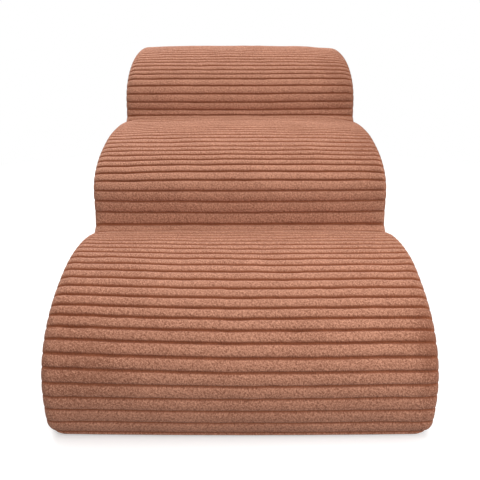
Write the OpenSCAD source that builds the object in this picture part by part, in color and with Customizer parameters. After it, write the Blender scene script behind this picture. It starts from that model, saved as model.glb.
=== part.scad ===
// Soft pet stairs: three foam blocks glued side by side, in a zip-off cover whose step panel is
// one strip of wide-ribbed plush. The stairs climb towards +Y and +X is to the right, seen from
// the front. The origin is on the floor, under the middle of the stairs.

/* [Steps] */
// Width across the two side panels
stair_w = 400; // [320:5:480]
// Front of the bottom step to the front of the middle step
bottom_run = 273; // [250:1:310]
// Front of the middle step to the front of the top step
middle_run = 283; // [250:1:310]
// Front of the top step to the back
top_run = 252; // [230:1:300]
// Floor to the highest line of the bottom tread
bottom_rise = 153; // [130:1:170]
// Bottom tread to the highest line of the middle tread
middle_rise = 100; // [90:1:125]
// Middle tread to the highest line of the top tread
top_rise = 109; // [90:1:130]
// How far the front hem sits behind the front of the bottom step
front_tuck = 9; // [6:1:20]
// Roundness of the bottom step at its front: 2 is an ellipse, more is squarer
bottom_front_fullness = 2.05; // [1.8:0.05:2.4]
// Roundness of the bottom step at its tread
bottom_tread_fullness = 2.25; // [1.8:0.05:2.6]
// Roundness of the middle step at its front
middle_front_fullness = 2.25; // [1.9:0.05:2.6]
// Roundness of the middle step at its tread
middle_tread_fullness = 2.65; // [2:0.05:2.8]
// Roundness of the top step at its front
top_front_fullness = 2; // [1.8:0.05:2.4]
// Roundness of the top step at its tread
top_tread_fullness = 2.3; // [1.8:0.05:2.6]
// Radius in the crease between a tread and the next riser
crease_r = 15; // [12:1:20]
// Radius where the top tread turns down to the back
back_r = 26; // [22:1:32]

/* [Ribbed cover] */
// Distance from groove to groove
rib_pitch = 13.9; // [13:0.1:20]
// Depth of a groove
rib_depth = 2.6; // [1:0.1:3.5]
// Padded plush from the crest of a rib to the foam, at the middle of the width
cover_t = 6; // [5:0.5:8]
// How far a tread falls from the middle of the width to the shoulder
crown = 3; // [2:0.5:6]
// How far the rounded side edge falls below the middle of the width
edge_drop = 13; // [11:0.5:16]
// Width of that rounded side edge
edge_w = 9; // [8:1:24]
// Radius of the side panels where they turn under at the floor
corner_r = 15; // [12:1:20]
// Thickness of the side, back and base cloth
cloth_t = 2; // [1.5:0.1:2.5]

/* [Base] */
// Height of a rubber grip dot
dot_h = 1; // [0.6:0.1:1.5]
// Radius of a rubber grip dot
dot_r = 6; // [4:0.5:8]
// Distance between grip dots
dot_pitch = 52; // [40:1:70]

/* [Zip] */
// Height of the zip above the floor
zip_z = 62; // [50:1:90]
// Plain back on each side of the teeth
zip_end = 30; // [26:1:50]
// Height of the slot between the two folded hems
hem_slot = 16; // [15:0.5:20]
// Depth of the folded hem, and so of the tape behind the back
hem_depth = 5; // [5:0.1:6]
// Width of one woven tape
tape_w = 15; // [13:0.5:17]
// Thickness of the tape
tape_t = 0.8; // [0.6:0.1:1]
// Distance between the teeth of one row
tooth_pitch = 4; // [3.6:0.1:5]
// Length of one tooth along the zip
tooth_l = 2; // [1.5:0.1:2.4]
// Height of one tooth across the zip
tooth_w = 3.4; // [3:0.1:4]
// How far a tooth stands proud of the tape on each side
tooth_proud = 1.2; // [1:0.1:1.3]
// Slit between the two rows, in which the slider's divider runs
slit = 1.2; // [1:0.1:1.6]
// Length of the slider
slider_l = 10; // [8:0.5:14]
// Thickness of the slider's two plates
plate_t = 1; // [0.8:0.1:1.1]
// Length of the pull tab
pull_l = 27; // [20:1:35]
// Width of the pull tab
pull_w = 7; // [6:0.5:9]

/* [Hidden] */

plush = [0.70, 0.46, 0.37];
plush_dark = [0.62, 0.39, 0.31];
foam_cream = [0.93, 0.90, 0.80];
base_grey = [0.36, 0.34, 0.33];
rubber_black = [0.12, 0.12, 0.12];
tape_brown = [0.58, 0.37, 0.30];
zip_brown = [0.45, 0.28, 0.22];
slider_metal = [0.62, 0.60, 0.58];

// Clearance between the padded cover and the foam
soft_fit = 0.8;
// Clearance between a panel's edge and the panel beside it
seam_fit = 0.3;
// Overrun of a cut
over = 1;
// Step each way along the outline used to find its direction
nudge = 2;

// The side outline, seen from +X: Y runs back from the front of the bottom step
stair_d = bottom_run + middle_run + top_run;
y_back = stair_d / 2;
bottom_top = bottom_rise;
middle_top = bottom_top + middle_rise;
top_top = middle_top + top_rise;
middle_front = bottom_run;
top_front = bottom_run + middle_run;

// Heights of the foremost line of each step, as shares of its rise
bottom_nose_share = 0.31;
middle_nose_share = 0.235;
top_nose_share = 0.13;
bottom_nose = bottom_rise * bottom_nose_share;
middle_nose = bottom_top + middle_rise * middle_nose_share;
top_nose = middle_top + top_rise * top_nose_share;
// Place of each tread's highest line, as shares of its run
bottom_crest_share = 0.615;
middle_crest_share = 0.72;
top_crest_share = 0.88;
// How far each tread falls again behind its highest line
bottom_fall = 12;
middle_fall = 5;
top_fall = 1;
// The front below the foremost line is the lower part of an ellipse this much taller
tuck_share = 1.55;
tuck_b = bottom_nose * tuck_share;
tuck_a = front_tuck / (1 - sqrt(1 - pow((bottom_nose - dot_h) / tuck_b, 2)));
// Steps in a quarter turn and in a flat stretch of the outline
turn_steps = 48;
flat_steps = 6;

function front_below(n) = [for (i = [0:n - 1])
    let (z = dot_h + (bottom_nose - dot_h) * i / n)
    [tuck_a - tuck_a * sqrt(1 - pow((bottom_nose - z) / tuck_b, 2)), z]];
// A quarter of a superellipse, from the foremost line up to the highest line
function nose(front, low, crest_y, top, fullness, n) = [for (i = [0:n])
    let (t = 90 * i / n)
    [crest_y - (crest_y - front) * pow(cos(t), 2 / fullness[0]),
     low + (top - low) * pow(sin(t), 2 / fullness[1])]];
// The tread behind its highest line, a shallow parabola
function tread(crest_y, top, end_y, fall, n) = [for (i = [1:n])
    [crest_y + (end_y - crest_y) * i / n, top - fall * pow(i / n, 2)]];
// The hollow quarter round from the tread into the next riser
function crease(y, z, n) = [for (i = [1:n])
    let (t = 90 * i / n) [y + crease_r * sin(t), z + crease_r * (1 - cos(t))]];
function back_turn(y, z, n) = [for (i = [1:n])
    let (t = 90 * i / n) [y + back_r * sin(t), z - back_r * (1 - cos(t))]];

bottom_crest = bottom_run * bottom_crest_share;
middle_crest = middle_front + middle_run * middle_crest_share;
top_crest = top_front + top_run * top_crest_share;
crease_1 = middle_front - crease_r;
crease_2 = top_front - crease_r;
bottom_fullness = [bottom_front_fullness, bottom_tread_fullness];
middle_fullness = [middle_front_fullness, middle_tread_fullness];
top_fullness = [top_front_fullness, top_tread_fullness];
bottom_path = concat(
    front_below(flat_steps),
    nose(0, bottom_nose, bottom_crest, bottom_top, bottom_fullness, turn_steps),
    tread(bottom_crest, bottom_top, crease_1, bottom_fall, flat_steps));
middle_path = concat(
    crease(crease_1, bottom_top - bottom_fall, turn_steps),
    nose(middle_front, middle_nose, middle_crest, middle_top, middle_fullness, turn_steps),
    tread(middle_crest, middle_top, crease_2, middle_fall, flat_steps));
top_path = concat(
    crease(crease_2, middle_top - middle_fall, turn_steps),
    nose(top_front, top_nose, top_crest, top_top, top_fullness, turn_steps),
    tread(top_crest, top_top, stair_d - back_r, top_fall, flat_steps),
    back_turn(stair_d - back_r, top_top - top_fall, turn_steps));
path = concat(bottom_path, middle_path, top_path);

// Length along the outline at each of its points
function lengths(p) = [for (i = 0, s = 0; i < len(p);
    s = s + (i + 1 < len(p) ? norm(p[i + 1] - p[i]) : 0), i = i + 1) s];
path_s = lengths(path);
path_l = path_s[len(path_s) - 1];
path_y = [for (i = [0:len(path) - 1]) [path_s[i], path[i][0] - y_back]];
path_z = [for (i = [0:len(path) - 1]) [path_s[i], path[i][1]]];
crease_1_s = path_s[len(bottom_path) - 1];
crease_2_s = path_s[len(bottom_path) + len(middle_path) - 1];

function at(s) = [lookup(s, path_y), lookup(s, path_z)];
// Square to the outline, but level below the foremost line, so that the hem lies flat
function outward(s) =
    let (d = at(min(s + nudge, path_l)) - at(max(s - nudge, 0)))
    at(s)[1] < bottom_nose ? [-1, 0] : [-d[1], d[0]] / norm(d);
// The outline set in by a depth
function inset(s, depth) = at(s) - outward(s) * depth;
// The crown and the side edge's drop fade out where the panel meets the flat back
fade_l = back_r * PI / 2;
function fade(s) = min(1, (path_l - s) / fade_l);
function crown_at(s) = crown * fade(s);
function drop_at(s) = cover_t + (edge_drop - cover_t) * fade(s);

// Ribs: each has its groove, then the two shoulders of its flat crest. They are pressed flat in
// the creases and pulled flat round the back turn
rib_n = floor(path_l / rib_pitch);
rib_l = path_l / rib_n;
shoulder_share = 0.24;
crease_l = crease_r * PI / 2;
function flat(s) = s > path_l - fade_l
    || min(abs(s - crease_1_s - crease_l / 2), abs(s - crease_2_s - crease_l / 2)) < 2 * rib_l;
ribs = [for (k = [0:rib_n - 1], f = [0, shoulder_share, 1 - shoulder_share])
    if (f == 0 || !flat((k + 1 / 2) * rib_l))
        [(k + f) * rib_l, f > 0 || flat(k * rib_l) ? 0 : rib_depth]];
stations = concat([for (rib = ribs) rib[0]], [path_l]);
dips = concat([for (rib = ribs) rib[1]], [0]);

// Joins closed rows of points into a skin; rows and points run so that the faces look out. Each
// list in caps closes part of the first and last row with triangles round its first point
module skin(rows, caps) {
    n = len(rows[0]);
    last = (len(rows) - 1) * n;
    polyhedron(
        points = [for (row = rows, p = row) p],
        faces = concat(
            [for (r = [0:len(rows) - 2], i = [0:n - 1])
                [r * n + i, (r + 1) * n + i, (r + 1) * n + (i + 1) % n]],
            [for (r = [0:len(rows) - 2], i = [0:n - 1])
                [r * n + i, (r + 1) * n + (i + 1) % n, r * n + (i + 1) % n]],
            [for (c = caps, i = [1:len(c) - 2]) [c[0], c[i], c[i + 1]]],
            [for (c = caps, i = [1:len(c) - 2]) [last + c[0], last + c[i + 1], last + c[i]]]),
        convexity = 10);
}

// Half width of the outline at a height: the side panels turn under at the floor
function half_w(z) = let (h = min(max(z - dot_h, 0), corner_r))
    stair_w / 2 - corner_r + sqrt(pow(corner_r, 2) - pow(corner_r - h, 2));

// One cross row of the step panel: side edge, shoulder, middle, shoulder, side edge, and the
// middle of its underside
function panel_row(s, dip) =
    let (edge = inset(s, drop_at(s)),
         shoulder = inset(s, crown_at(s) + dip),
         middle = inset(s, dip),
         under = inset(s, cover_t),
         w = half_w(edge[1]))
    [[-w, edge[0], edge[1]], [edge_w - w, shoulder[0], shoulder[1]],
     [0, middle[0], middle[1]], [w - edge_w, shoulder[0], shoulder[1]],
     [w, edge[0], edge[1]], [0, under[0], under[1]]];

module cover_step_panel() {
    color(plush)
        skin([for (i = [0:len(stations) - 1]) panel_row(stations[i], dips[i])],
            [[5, 0, 1, 2, 3, 4]]);
}

// Foam: each block is a set of upright slices whose tops follow the panel's underside
base_top = dot_h + cloth_t;
foam_half = stair_w / 2 - cloth_t - soft_fit;
foam_foot = stair_w / 2 - corner_r;
foam_lift = corner_r;
// Depth of the foam below the ribs' crests at a distance from the middle, with twice the
// clearance round the back turn, where the panel twists
function foam_depth(x, s) = soft_fit * (fade(s) < 1 ? 2 : 1) + cover_t
    + (drop_at(s) - cover_t) * x * 2 / stair_w;
// The front foot of the foam's edge slices is lifted clear of the turned-under side panel
function lifted(p, low, first) = p[1] > bottom_nose ? p
    : [p[0], low + (p[1] - first) * (bottom_nose - low) / (bottom_nose - first)];
// Straight below the outline at the glued faces, so that these are upright and flat
function foam_top(s, depth) = s == crease_1_s || s == crease_2_s ? at(s) - [0, depth]
    : inset(s, depth);
function foam_row(x, low, s_list) =
    let (line = [for (s = s_list) foam_top(s, foam_depth(abs(x), s))],
         first = line[0][1])
    [for (p = line) let (q = s_list[0] == 0 ? lifted(p, low + nudge, first) : p) [x, q[0], q[1]]];
function between(a, b) = [for (s = stations) if (s > a + over && s < b - over) s];

// The zip presses a shallow trough into the back of the foam
tape_y = y_back - hem_depth;
trough_y = tape_y - tape_t - tooth_proud - seam_fit - plate_t - over;
// The tape's edge stands back inside the clasp of each tooth
clasp = 1.2;
trough_h = 2 * (slit / 2 + clasp + tape_w + soft_fit);
foam_back = y_back - cloth_t - soft_fit;

module foam_block(s_list, y_front, y_end, back_line) {
    slices = [[-foam_half, base_top + foam_lift], [-foam_foot, base_top], [0, base_top],
              [foam_foot, base_top], [foam_half, base_top + foam_lift]];
    // The ends' triangles: all from the heel, or with a trough from its inner corners
    m = len(s_list);
    heel = m + len(back_line);
    toe = heel + 1;
    tops = [for (i = [0:m - 1]) i];
    caps = heel == m ? [concat([heel, toe], tops)]
        : [concat([m + 2, toe], tops, [m, m + 1]), [m + 2, m + 3, toe], [m + 3, m + 4, heel, toe]];
    color(foam_cream)
        skin([for (k = slices) concat(
            foam_row(k[0], k[1], s_list),
            [for (p = back_line) [k[0], p[0], p[1]]],
            [[k[0], y_end, k[1]], [k[0], y_front == undef ? foam_row(k[0], k[1], s_list)[0][1]
                + nudge : y_front, k[1]]])], caps);
}

module foam_block_front() {
    foam_block(concat([0], between(0, crease_1_s), [crease_1_s]), undef,
        crease_1 - y_back, []);
}

module foam_block_middle() {
    foam_block(concat([crease_1_s], between(crease_1_s, crease_2_s), [crease_2_s]),
        crease_1 - y_back, crease_2 - y_back, []);
}

module foam_block_rear() {
    back_z = at(path_l)[1];
    foam_block(concat([crease_2_s], between(crease_2_s, path_l), [path_l]),
        crease_2 - y_back, foam_back,
        [[foam_back, back_z - edge_drop],
         [foam_back, zip_z + trough_h / 2],
         [trough_y, zip_z + trough_h / 2],
         [trough_y, zip_z - trough_h / 2],
         [foam_back, zip_z - trough_h / 2]]);
}

// Side panel: a flat sheet cut to the stepped outline, turned under in a quarter round
module side_outline() {
    polygon(concat(
        [for (s = stations) inset(s, drop_at(s) + seam_fit)],
        [[y_back, at(path_l)[1]], [y_back, dot_h]]));
}

module cover_side() {
    mid = stair_w / 2 - corner_r;
    intersection() {
        rotate([90, 0, 90])
            translate([0, 0, mid])
                linear_extrude(corner_r)
                    side_outline();
        union() {
            translate([stair_w / 2 - cloth_t, -y_back - over, dot_h + corner_r])
                cube([cloth_t, stair_d + 2 * over, top_top]);
            translate([mid, y_back + over, dot_h + corner_r])
                rotate([90, 0, 0])
                    intersection() {
                        difference() {
                            cylinder(r = corner_r, h = stair_d + 2 * over, $fn = 96);
                            translate([0, 0, -over])
                                cylinder(r = corner_r - cloth_t, h = stair_d + 4 * over, $fn = 96);
                        }
                        translate([0, -corner_r - over, -over])
                            cube([corner_r + over, corner_r + over, stair_d + 4 * over]);
                    }
        }
    }
}

module cover_side_right() {
    color(plush_dark) cover_side();
}

module cover_side_left() {
    color(plush_dark) mirror([1, 0, 0]) cover_side();
}

// Back panels: flat cloth between the side panels, with a folded hem at the zip
back_half = stair_w / 2 - cloth_t;
back_top = at(path_l)[1] - seam_fit;

module back_outline() {
    r = corner_r - cloth_t;
    arc = [for (i = [0:turn_steps]) let (t = 90 * i / turn_steps)
        [back_half - r + r * sin(t), base_top + r - r * cos(t)]];
    polygon(concat(
        arc,
        [[back_half, back_top], [-back_half, back_top]],
        [for (i = [turn_steps:-1:0]) [-arc[i][0], arc[i][1]]]));
}

module back_sheet(depth, low, high) {
    intersection() {
        translate([0, y_back, 0])
            rotate([90, 0, 0])
                linear_extrude(depth)
                    back_outline();
        translate([-stair_w, y_back - depth - over, low])
            cube([2 * stair_w, depth + 2 * over, high - low]);
    }
}

module cover_back_upper() {
    hem = zip_z + hem_slot / 2;
    color(plush_dark) {
        back_sheet(cloth_t, hem, top_top);
        back_sheet(hem_depth, hem, hem + cloth_t);
    }
}

module cover_back_lower() {
    hem = zip_z - hem_slot / 2;
    color(plush_dark) {
        back_sheet(cloth_t, 0, hem);
        back_sheet(hem_depth, hem - cloth_t, hem);
    }
}

base_front = inset(0, edge_drop)[0] + seam_fit;
base_middle = inset(0, cover_t)[0] + seam_fit;
base_half = stair_w / 2 - corner_r;

module base_panel() {
    color(base_grey)
        translate([0, 0, dot_h])
            linear_extrude(cloth_t)
                polygon([[-base_half, y_back], [-base_half, base_front], [0, base_middle],
                         [base_half, base_front], [base_half, y_back]]);
}

module grip_dots() {
    nx = floor((base_half - dot_r) / dot_pitch);
    room_y = (y_back - base_front) / 2 - dot_r - over;
    ny = floor(room_y / dot_pitch);
    mid_y = (y_back + base_front) / 2;
    color(rubber_black)
        for (ix = [-nx:nx], iy = [-ny:ny])
            translate([ix * dot_pitch, mid_y + iy * dot_pitch, 0])
                cylinder(r = dot_r, h = dot_h, $fn = 12);
}

// Zip: everything below is set out from the middle of its slit
zip_half = stair_w / 2 - zip_end;
tab_l = 14;
tape_half = zip_half + tab_l / 2;

module zip_tape() {
    translate([-tape_half, tape_y - tape_t, slit / 2 + clasp])
        cube([2 * tape_half, tape_t, tape_w]);
}

module zip_tape_upper() {
    color(tape_brown) translate([0, 0, zip_z]) zip_tape();
}

module zip_tape_lower() {
    color(tape_brown) translate([0, 0, zip_z]) mirror([0, 0, 1]) zip_tape();
}

// Teeth: a clasp moulded round the tape's edge, one row offset by half a pitch
stop_l = 3;
teeth_n = floor((2 * zip_half - 2 * (tab_l / 2 + stop_l)) / tooth_pitch) - 1;

module tooth(length) {
    translate([-length / 2, 0, 0])
        rotate([90, 0, 90])
            linear_extrude(length)
                difference() {
                    translate([tape_y - tape_t - tooth_proud, slit / 2])
                        square([tape_t + 2 * tooth_proud, tooth_w]);
                    translate([tape_y - tape_t, slit / 2 + clasp])
                        square([tape_t, tooth_w]);
                }
}

module zip_teeth(shift) {
    for (i = [0:teeth_n - 1])
        translate([(i - (teeth_n - 1) / 2) * tooth_pitch + shift, 0, 0])
            tooth(tooth_l);
}

module zip_teeth_upper() {
    color(zip_brown) translate([0, 0, zip_z]) zip_teeth(tooth_pitch / 4);
}

module zip_teeth_lower() {
    color(zip_brown) translate([0, 0, zip_z]) mirror([0, 0, 1]) zip_teeth(-tooth_pitch / 4);
}

stop_x = zip_half - tab_l / 2 - stop_l / 2;

module zip_stops() {
    color(zip_brown)
        translate([0, 0, zip_z])
            for (side = [-1, 1], half = [0, 1])
                translate([side * stop_x, 0, 0])
                    mirror([0, 0, half])
                        tooth(stop_l);
}

// Tabs: folded cloth over the tapes' ends, run out to the side panels so that no gap is left
tab_x = zip_half - tab_l / 2;

module zip_end_tabs() {
    color(tape_brown)
        for (side = [0, 1])
            mirror([side, 0, 0])
                translate([tab_x, tape_y, zip_z - hem_slot / 2])
                    cube([back_half - tab_x, cloth_t, hem_slot]);
}

// Slider: two plates joined by the divider, flanges beside the teeth, and the bridge
run_fit = 0.3;
outer_plate = tape_y + tooth_proud + run_fit;
inner_plate = tape_y - tape_t - tooth_proud - run_fit - plate_t;
slider_top = outer_plate + plate_t;
flange_z = slit / 2 + tooth_w + run_fit;
slider_half = flange_z + plate_t;
divider_fit = 0.2;
divider_w = slit - 2 * divider_fit;
divider_l = 2;
bridge_w = 2.2;
bridge_t = 0.7;
pin_r = 0.5;
pin_y = slider_top + pin_r + run_fit;
bridge_top = pin_y + pin_r + run_fit;
bridge_half = slider_l / 2 - plate_t / 2;
slider_x = stop_x - stop_l / 2 - slider_l / 2 - run_fit;

module slider_plate(y) {
    translate([-slider_l / 2, y, -slider_half])
        cube([slider_l, plate_t, 2 * slider_half]);
}

module flange(y, height) {
    for (half = [0, 1])
        mirror([0, 0, half])
            translate([-slider_l / 2, y, flange_z])
                cube([slider_l, height, plate_t]);
}

module zip_slider() {
    color(slider_metal)
        translate([slider_x, 0, zip_z]) {
            slider_plate(outer_plate);
            slider_plate(inner_plate);
            translate([-slider_l / 2, inner_plate, -divider_w / 2])
                cube([divider_l, slider_top - inner_plate, divider_w]);
            flange(tape_y + run_fit, outer_plate - tape_y);
            flange(inner_plate, plate_t + tooth_proud);
            difference() {
                translate([-bridge_half, slider_top - plate_t / 2, -bridge_w / 2])
                    cube([2 * bridge_half, bridge_top + bridge_t - slider_top + plate_t / 2,
                          bridge_w]);
                translate([plate_t - bridge_half, slider_top, -bridge_w])
                    cube([2 * (bridge_half - plate_t), bridge_top - slider_top, 2 * bridge_w]);
            }
        }
}

// Pull: a cross bar under the bridge, two arms beside it, and the tab
window_half = bridge_w / 2 + run_fit;
arm_w = 1.6;
arm_l = 9;
pull_t = 0.9;

module zip_pull() {
    color(slider_metal)
        translate([slider_x, pin_y, zip_z]) {
            translate([0, 0, -window_half - arm_w])
                cylinder(r = pin_r, h = 2 * (window_half + arm_w), $fn = 32);
            for (half = [0, 1])
                mirror([0, 0, half])
                    translate([-arm_l, -pull_t / 2, window_half])
                        cube([arm_l, pull_t, arm_w]);
            translate([0, pull_t / 2, 0])
                rotate([90, 0, 0])
                    linear_extrude(pull_t) {
                        translate([pull_w / 2 - pull_l, -pull_w / 2])
                            square([pull_l - pull_w / 2 - arm_l, pull_w]);
                        translate([pull_w / 2 - pull_l, 0])
                            circle(r = pull_w / 2, $fn = 48);
                    }
        }
}

foam_block_front();
foam_block_middle();
foam_block_rear();
cover_step_panel();
cover_side_left();
cover_side_right();
cover_back_upper();
cover_back_lower();
base_panel();
grip_dots();
zip_tape_upper();
zip_tape_lower();
zip_teeth_upper();
zip_teeth_lower();
zip_stops();
zip_end_tabs();
zip_slider();
zip_pull();
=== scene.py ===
"""Soft pet stairs in a zip-off cover of wide-ribbed plush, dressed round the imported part.

Sizes are worked out in millimetres, as in the part's source, and go into the meshes in metres.
The stairs climb towards +Y, +X is to the right seen from the front, and the floor is z = 0.
"""
import math

import bmesh
import bpy
import numpy as np
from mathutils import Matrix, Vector


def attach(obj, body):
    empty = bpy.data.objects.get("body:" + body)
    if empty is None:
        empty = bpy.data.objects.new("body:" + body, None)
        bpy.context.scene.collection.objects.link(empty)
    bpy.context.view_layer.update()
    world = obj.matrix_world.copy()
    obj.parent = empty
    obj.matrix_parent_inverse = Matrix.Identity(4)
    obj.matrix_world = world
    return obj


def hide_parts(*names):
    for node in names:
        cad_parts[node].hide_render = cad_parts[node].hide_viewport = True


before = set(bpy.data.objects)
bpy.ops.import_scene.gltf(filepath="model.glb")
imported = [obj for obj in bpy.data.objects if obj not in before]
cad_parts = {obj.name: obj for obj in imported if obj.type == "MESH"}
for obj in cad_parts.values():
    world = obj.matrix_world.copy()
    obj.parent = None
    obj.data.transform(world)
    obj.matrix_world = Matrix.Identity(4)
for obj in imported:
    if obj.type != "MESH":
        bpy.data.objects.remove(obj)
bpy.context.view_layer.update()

# Foam core. Three blocks of cream open-cell foam, sawn to the stepped side outline and glued
# face to face, carry the steps. The rear one has a shallow trough behind the zip, and the cover
# hides them all.
MM = 0.001
WIDTH, DEPTH, FACE_HALF = 400, 808, 190
CLOTH, SPARE, GLUE = 2, 0.8, 0.2
FRONT_TUCK, TURN_UNDER, BACK_R = 9, 15, 26
FLOOR_GAP = 1
ZIP_Z = 62
STEPS = [
    dict(front=0, low=47.43, crest=167.9, top=153, full=(2.05, 2.25), end=258, fall=12),
    dict(front=273, low=176.5, crest=476.76, top=253, full=(2.25, 2.65), end=541, fall=5),
    dict(front=556, low=267.17, crest=777.76, top=362, full=(2, 2.3), end=782, fall=1),
]


def stair_outline(tall=1.55, hollow=15):
    """The side outline as rows of (y, z), from the front hem to the top of the back: the lower
    part of an upright ellipse, then for each step a quarter of a superellipse from its foremost
    line to its crest, a shallow parabola along its tread and a hollow quarter round into the
    next riser. A quarter round turns down to the back, which runs on straight for a little."""
    low = STEPS[0]["low"]
    high = low * tall
    wide = FRONT_TUCK / (1 - math.sqrt(1 - ((low - FLOOR_GAP) / high) ** 2))
    z = np.linspace(FLOOR_GAP, low, 80)
    rows = [np.c_[wide - wide * np.sqrt(1 - ((low - z) / high) ** 2), z]]
    share = np.linspace(0, 1, 400)[1:]
    across, up = np.cos(share * np.pi / 2).clip(0), np.sin(share * np.pi / 2)
    for step in STEPS:
        reach, rise = step["crest"] - step["front"], step["top"] - step["low"]
        flat, end = step["top"] - step["fall"], step["end"]
        bend = -BACK_R if step is STEPS[-1] else hollow
        rows += [
            np.c_[step["crest"] - reach * across ** (2 / step["full"][0]),
                  step["low"] + rise * up ** (2 / step["full"][1])],
            np.c_[step["crest"] + (end - step["crest"]) * share,
                  step["top"] - step["fall"] * share ** 2],
            np.c_[end + abs(bend) * up, flat + bend * (1 - across)],
        ]
    rows.append(rows[-1][-1:] - [0, 5])
    return np.concatenate(rows) - [DEPTH / 2, 0]


OUTLINE = stair_outline()
RUN = np.r_[0, np.cumsum(np.linalg.norm(np.diff(OUTLINE, axis=0), axis=1))]
LONG = RUN[-2]
BACK_TURN = BACK_R * math.pi / 2


def along(s):
    """The outline's points (y, z) at a distance along it."""
    return np.stack([np.interp(s, RUN, OUTLINE[:, 0]), np.interp(s, RUN, OUTLINE[:, 1])], -1)


def outward(s):
    """Square to the outline, but level below the bottom step's foremost line, where the front
    lies flat."""
    way = along(s + 2) - along(np.maximum(s - 2, 0))
    square = np.stack([-way[..., 1], way[..., 0]], -1)
    square = square / np.linalg.norm(square, axis=-1, keepdims=True)
    return np.where(along(s)[..., 1:] < STEPS[0]["low"], [-1.0, 0.0], square)


def inset(s, depth):
    """The outline set in by a depth."""
    return along(s) - outward(s) * np.asarray(depth)[..., None]


def back_fade(s):
    """1 along the stairs, falling to 0 round the back turn."""
    return ((LONG - s) / BACK_TURN).clip(0, 1)


PLUSH_T, EDGE_DROP = 6, 13


def under_depth(x, s):
    """Depth of the padded plush's underside: its thickness at the middle, and the side edge's
    drop at the edge."""
    return PLUSH_T + (EDGE_DROP - PLUSH_T) * back_fade(s) * np.abs(x) * 2 / WIDTH


def add_piece(name, spots, faces):
    """A smooth mesh object in the scene, from points in millimetres and faces."""
    mesh = bpy.data.meshes.new(name)
    mesh.from_pydata((spots * MM).tolist(), [], faces)
    mesh.shade_smooth()
    piece = bpy.data.objects.new(name, mesh)
    bpy.context.scene.collection.objects.link(piece)
    return piece


def skin(name, points, loops=False, ends=False):
    """A mesh through a grid of points in millimetres. Each point joins the next one in its row
    and in its column in quads. Loops joins each row's last point to its first, and ends closes
    the first and last row with a face. A closed skin is turned to face outwards."""
    rows, columns = points.shape[:2]
    index = np.arange(rows * columns).reshape(rows, columns)
    if loops:
        index = np.c_[index, index[:, :1]]
    quads = np.stack([index[:-1, :-1], index[1:, :-1], index[1:, 1:], index[:-1, 1:]], -1)
    quads = quads.reshape(-1, 4)
    flat = points.reshape(-1, 3)
    caps = [index[0, :columns], index[-1, columns - 1::-1]]
    if ends:
        a, b, c, d = (flat[quads[:, k]] for k in range(4))
        volume = (np.cross(a, b) * c).sum() + (np.cross(a, c) * d).sum()
        if volume < 0:
            quads = quads[:, ::-1]
        else:
            caps = [cap[::-1] for cap in caps]
    return add_piece(name, flat, quads.tolist() + [cap.tolist() for cap in caps if ends])


def fit(piece, finish, slot, *nodes, body="stairs"):
    """Gives a piece its finish and sets it in place of CAD nodes on a body. The slot is not used.
    """
    piece.data.materials.clear()
    piece.data.materials.append(finish)
    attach(piece, body)
    if nodes:
        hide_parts(*nodes)
    return piece


class Wire:
    """An output of a finish's nodes. Sums and products of wires and numbers add Math nodes."""

    def __init__(self, tree, socket=None):
        self.tree, self.socket = tree, socket

    def node(self, kind, settings=(), sockets=(), out=0):
        """Adds a shader node: its settings first, then values or wires for its sockets."""
        made = self.tree.nodes.new("ShaderNode" + kind)
        for key, value in dict(settings).items():
            setattr(made, key, value)
        for key, value in dict(sockets).items():
            if isinstance(value, Wire):
                self.tree.links.new(value.socket, made.inputs[key])
            else:
                made.inputs[key].default_value = value
        return Wire(self.tree, made.outputs[out] if len(made.outputs) else None)

    def math(self, operation, *values):
        return self.node("Math", {"operation": operation}, dict(enumerate(values)))

    def __add__(self, other):
        return self.math("ADD", self, other)

    def __sub__(self, other):
        return self.math("SUBTRACT", self, other)

    def __rsub__(self, other):
        return self.math("SUBTRACT", other, self)

    def __mul__(self, other):
        return self.math("MULTIPLY", self, other)

    __radd__, __rmul__ = __add__, __mul__

    def held(self):
        """The value kept between 0 and 1."""
        return self.math("MINIMUM", self.math("MAXIMUM", self, 0.0), 1.0)

    def noise(self, place, scale, detail=2.0, roughness=0.5, turned=0.0):
        """Noise from 0 to 1 over a place, in lumps per metre along each axis."""
        where = self.node("Mapping", {}, {"Vector": place, "Scale": scale,
                                          "Rotation": (0, 0, turned)})
        return self.node("TexNoise", {}, {"Vector": where, "Scale": 1.0, "Detail": detail,
                                          "Roughness": roughness})

    def mix(self, share, first, second):
        """One colour turning into another."""
        pair = [(*c, 1) if isinstance(c, tuple) else c for c in (first, second)]
        return self.node("Mix", {"data_type": "RGBA"}, {0: share, 6: pair[0], 7: pair[1]}, out=2)

    def bump(self, height, distance, strength=1.0):
        return self.node("Bump", {}, {"Height": height, "Distance": distance,
                                      "Strength": strength})

    def read(self, attribute, out="Vector"):
        return self.node("Attribute", {"attribute_name": attribute}, out=out)

    def place(self):
        return self.node("TexCoord", out="Object")

    def shade(self, colour, **sockets):
        """Ends the finish in a Principled shader."""
        known = {key.replace("_", " "): value for key, value in sockets.items()}
        shader = self.node("BsdfPrincipled", {}, {"Base Color": colour, **known})
        self.node("OutputMaterial", {}, {"Surface": shader})


def finish(name):
    """A new material and the wire that starts its nodes."""
    material = bpy.data.materials.new(name)
    material.use_nodes = True
    material.node_tree.nodes.clear()
    return material, Wire(material.node_tree)


def foam_finish():
    """Cream foam: fine open cells, a little yellower in places."""
    material, wire = finish("open_cell_foam")
    cells = wire.node("TexVoronoi", {}, {"Vector": wire.place(), "Scale": 700.0}, out="Distance")
    age = wire.noise(wire.place(), (9, 9, 9), 3)
    colour = wire.mix(age, (0.86, 0.80, 0.62), (0.80, 0.70, 0.48))
    wire.shade(colour, Roughness=0.95, Normal=wire.bump(cells, 0.0006))
    return material


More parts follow.
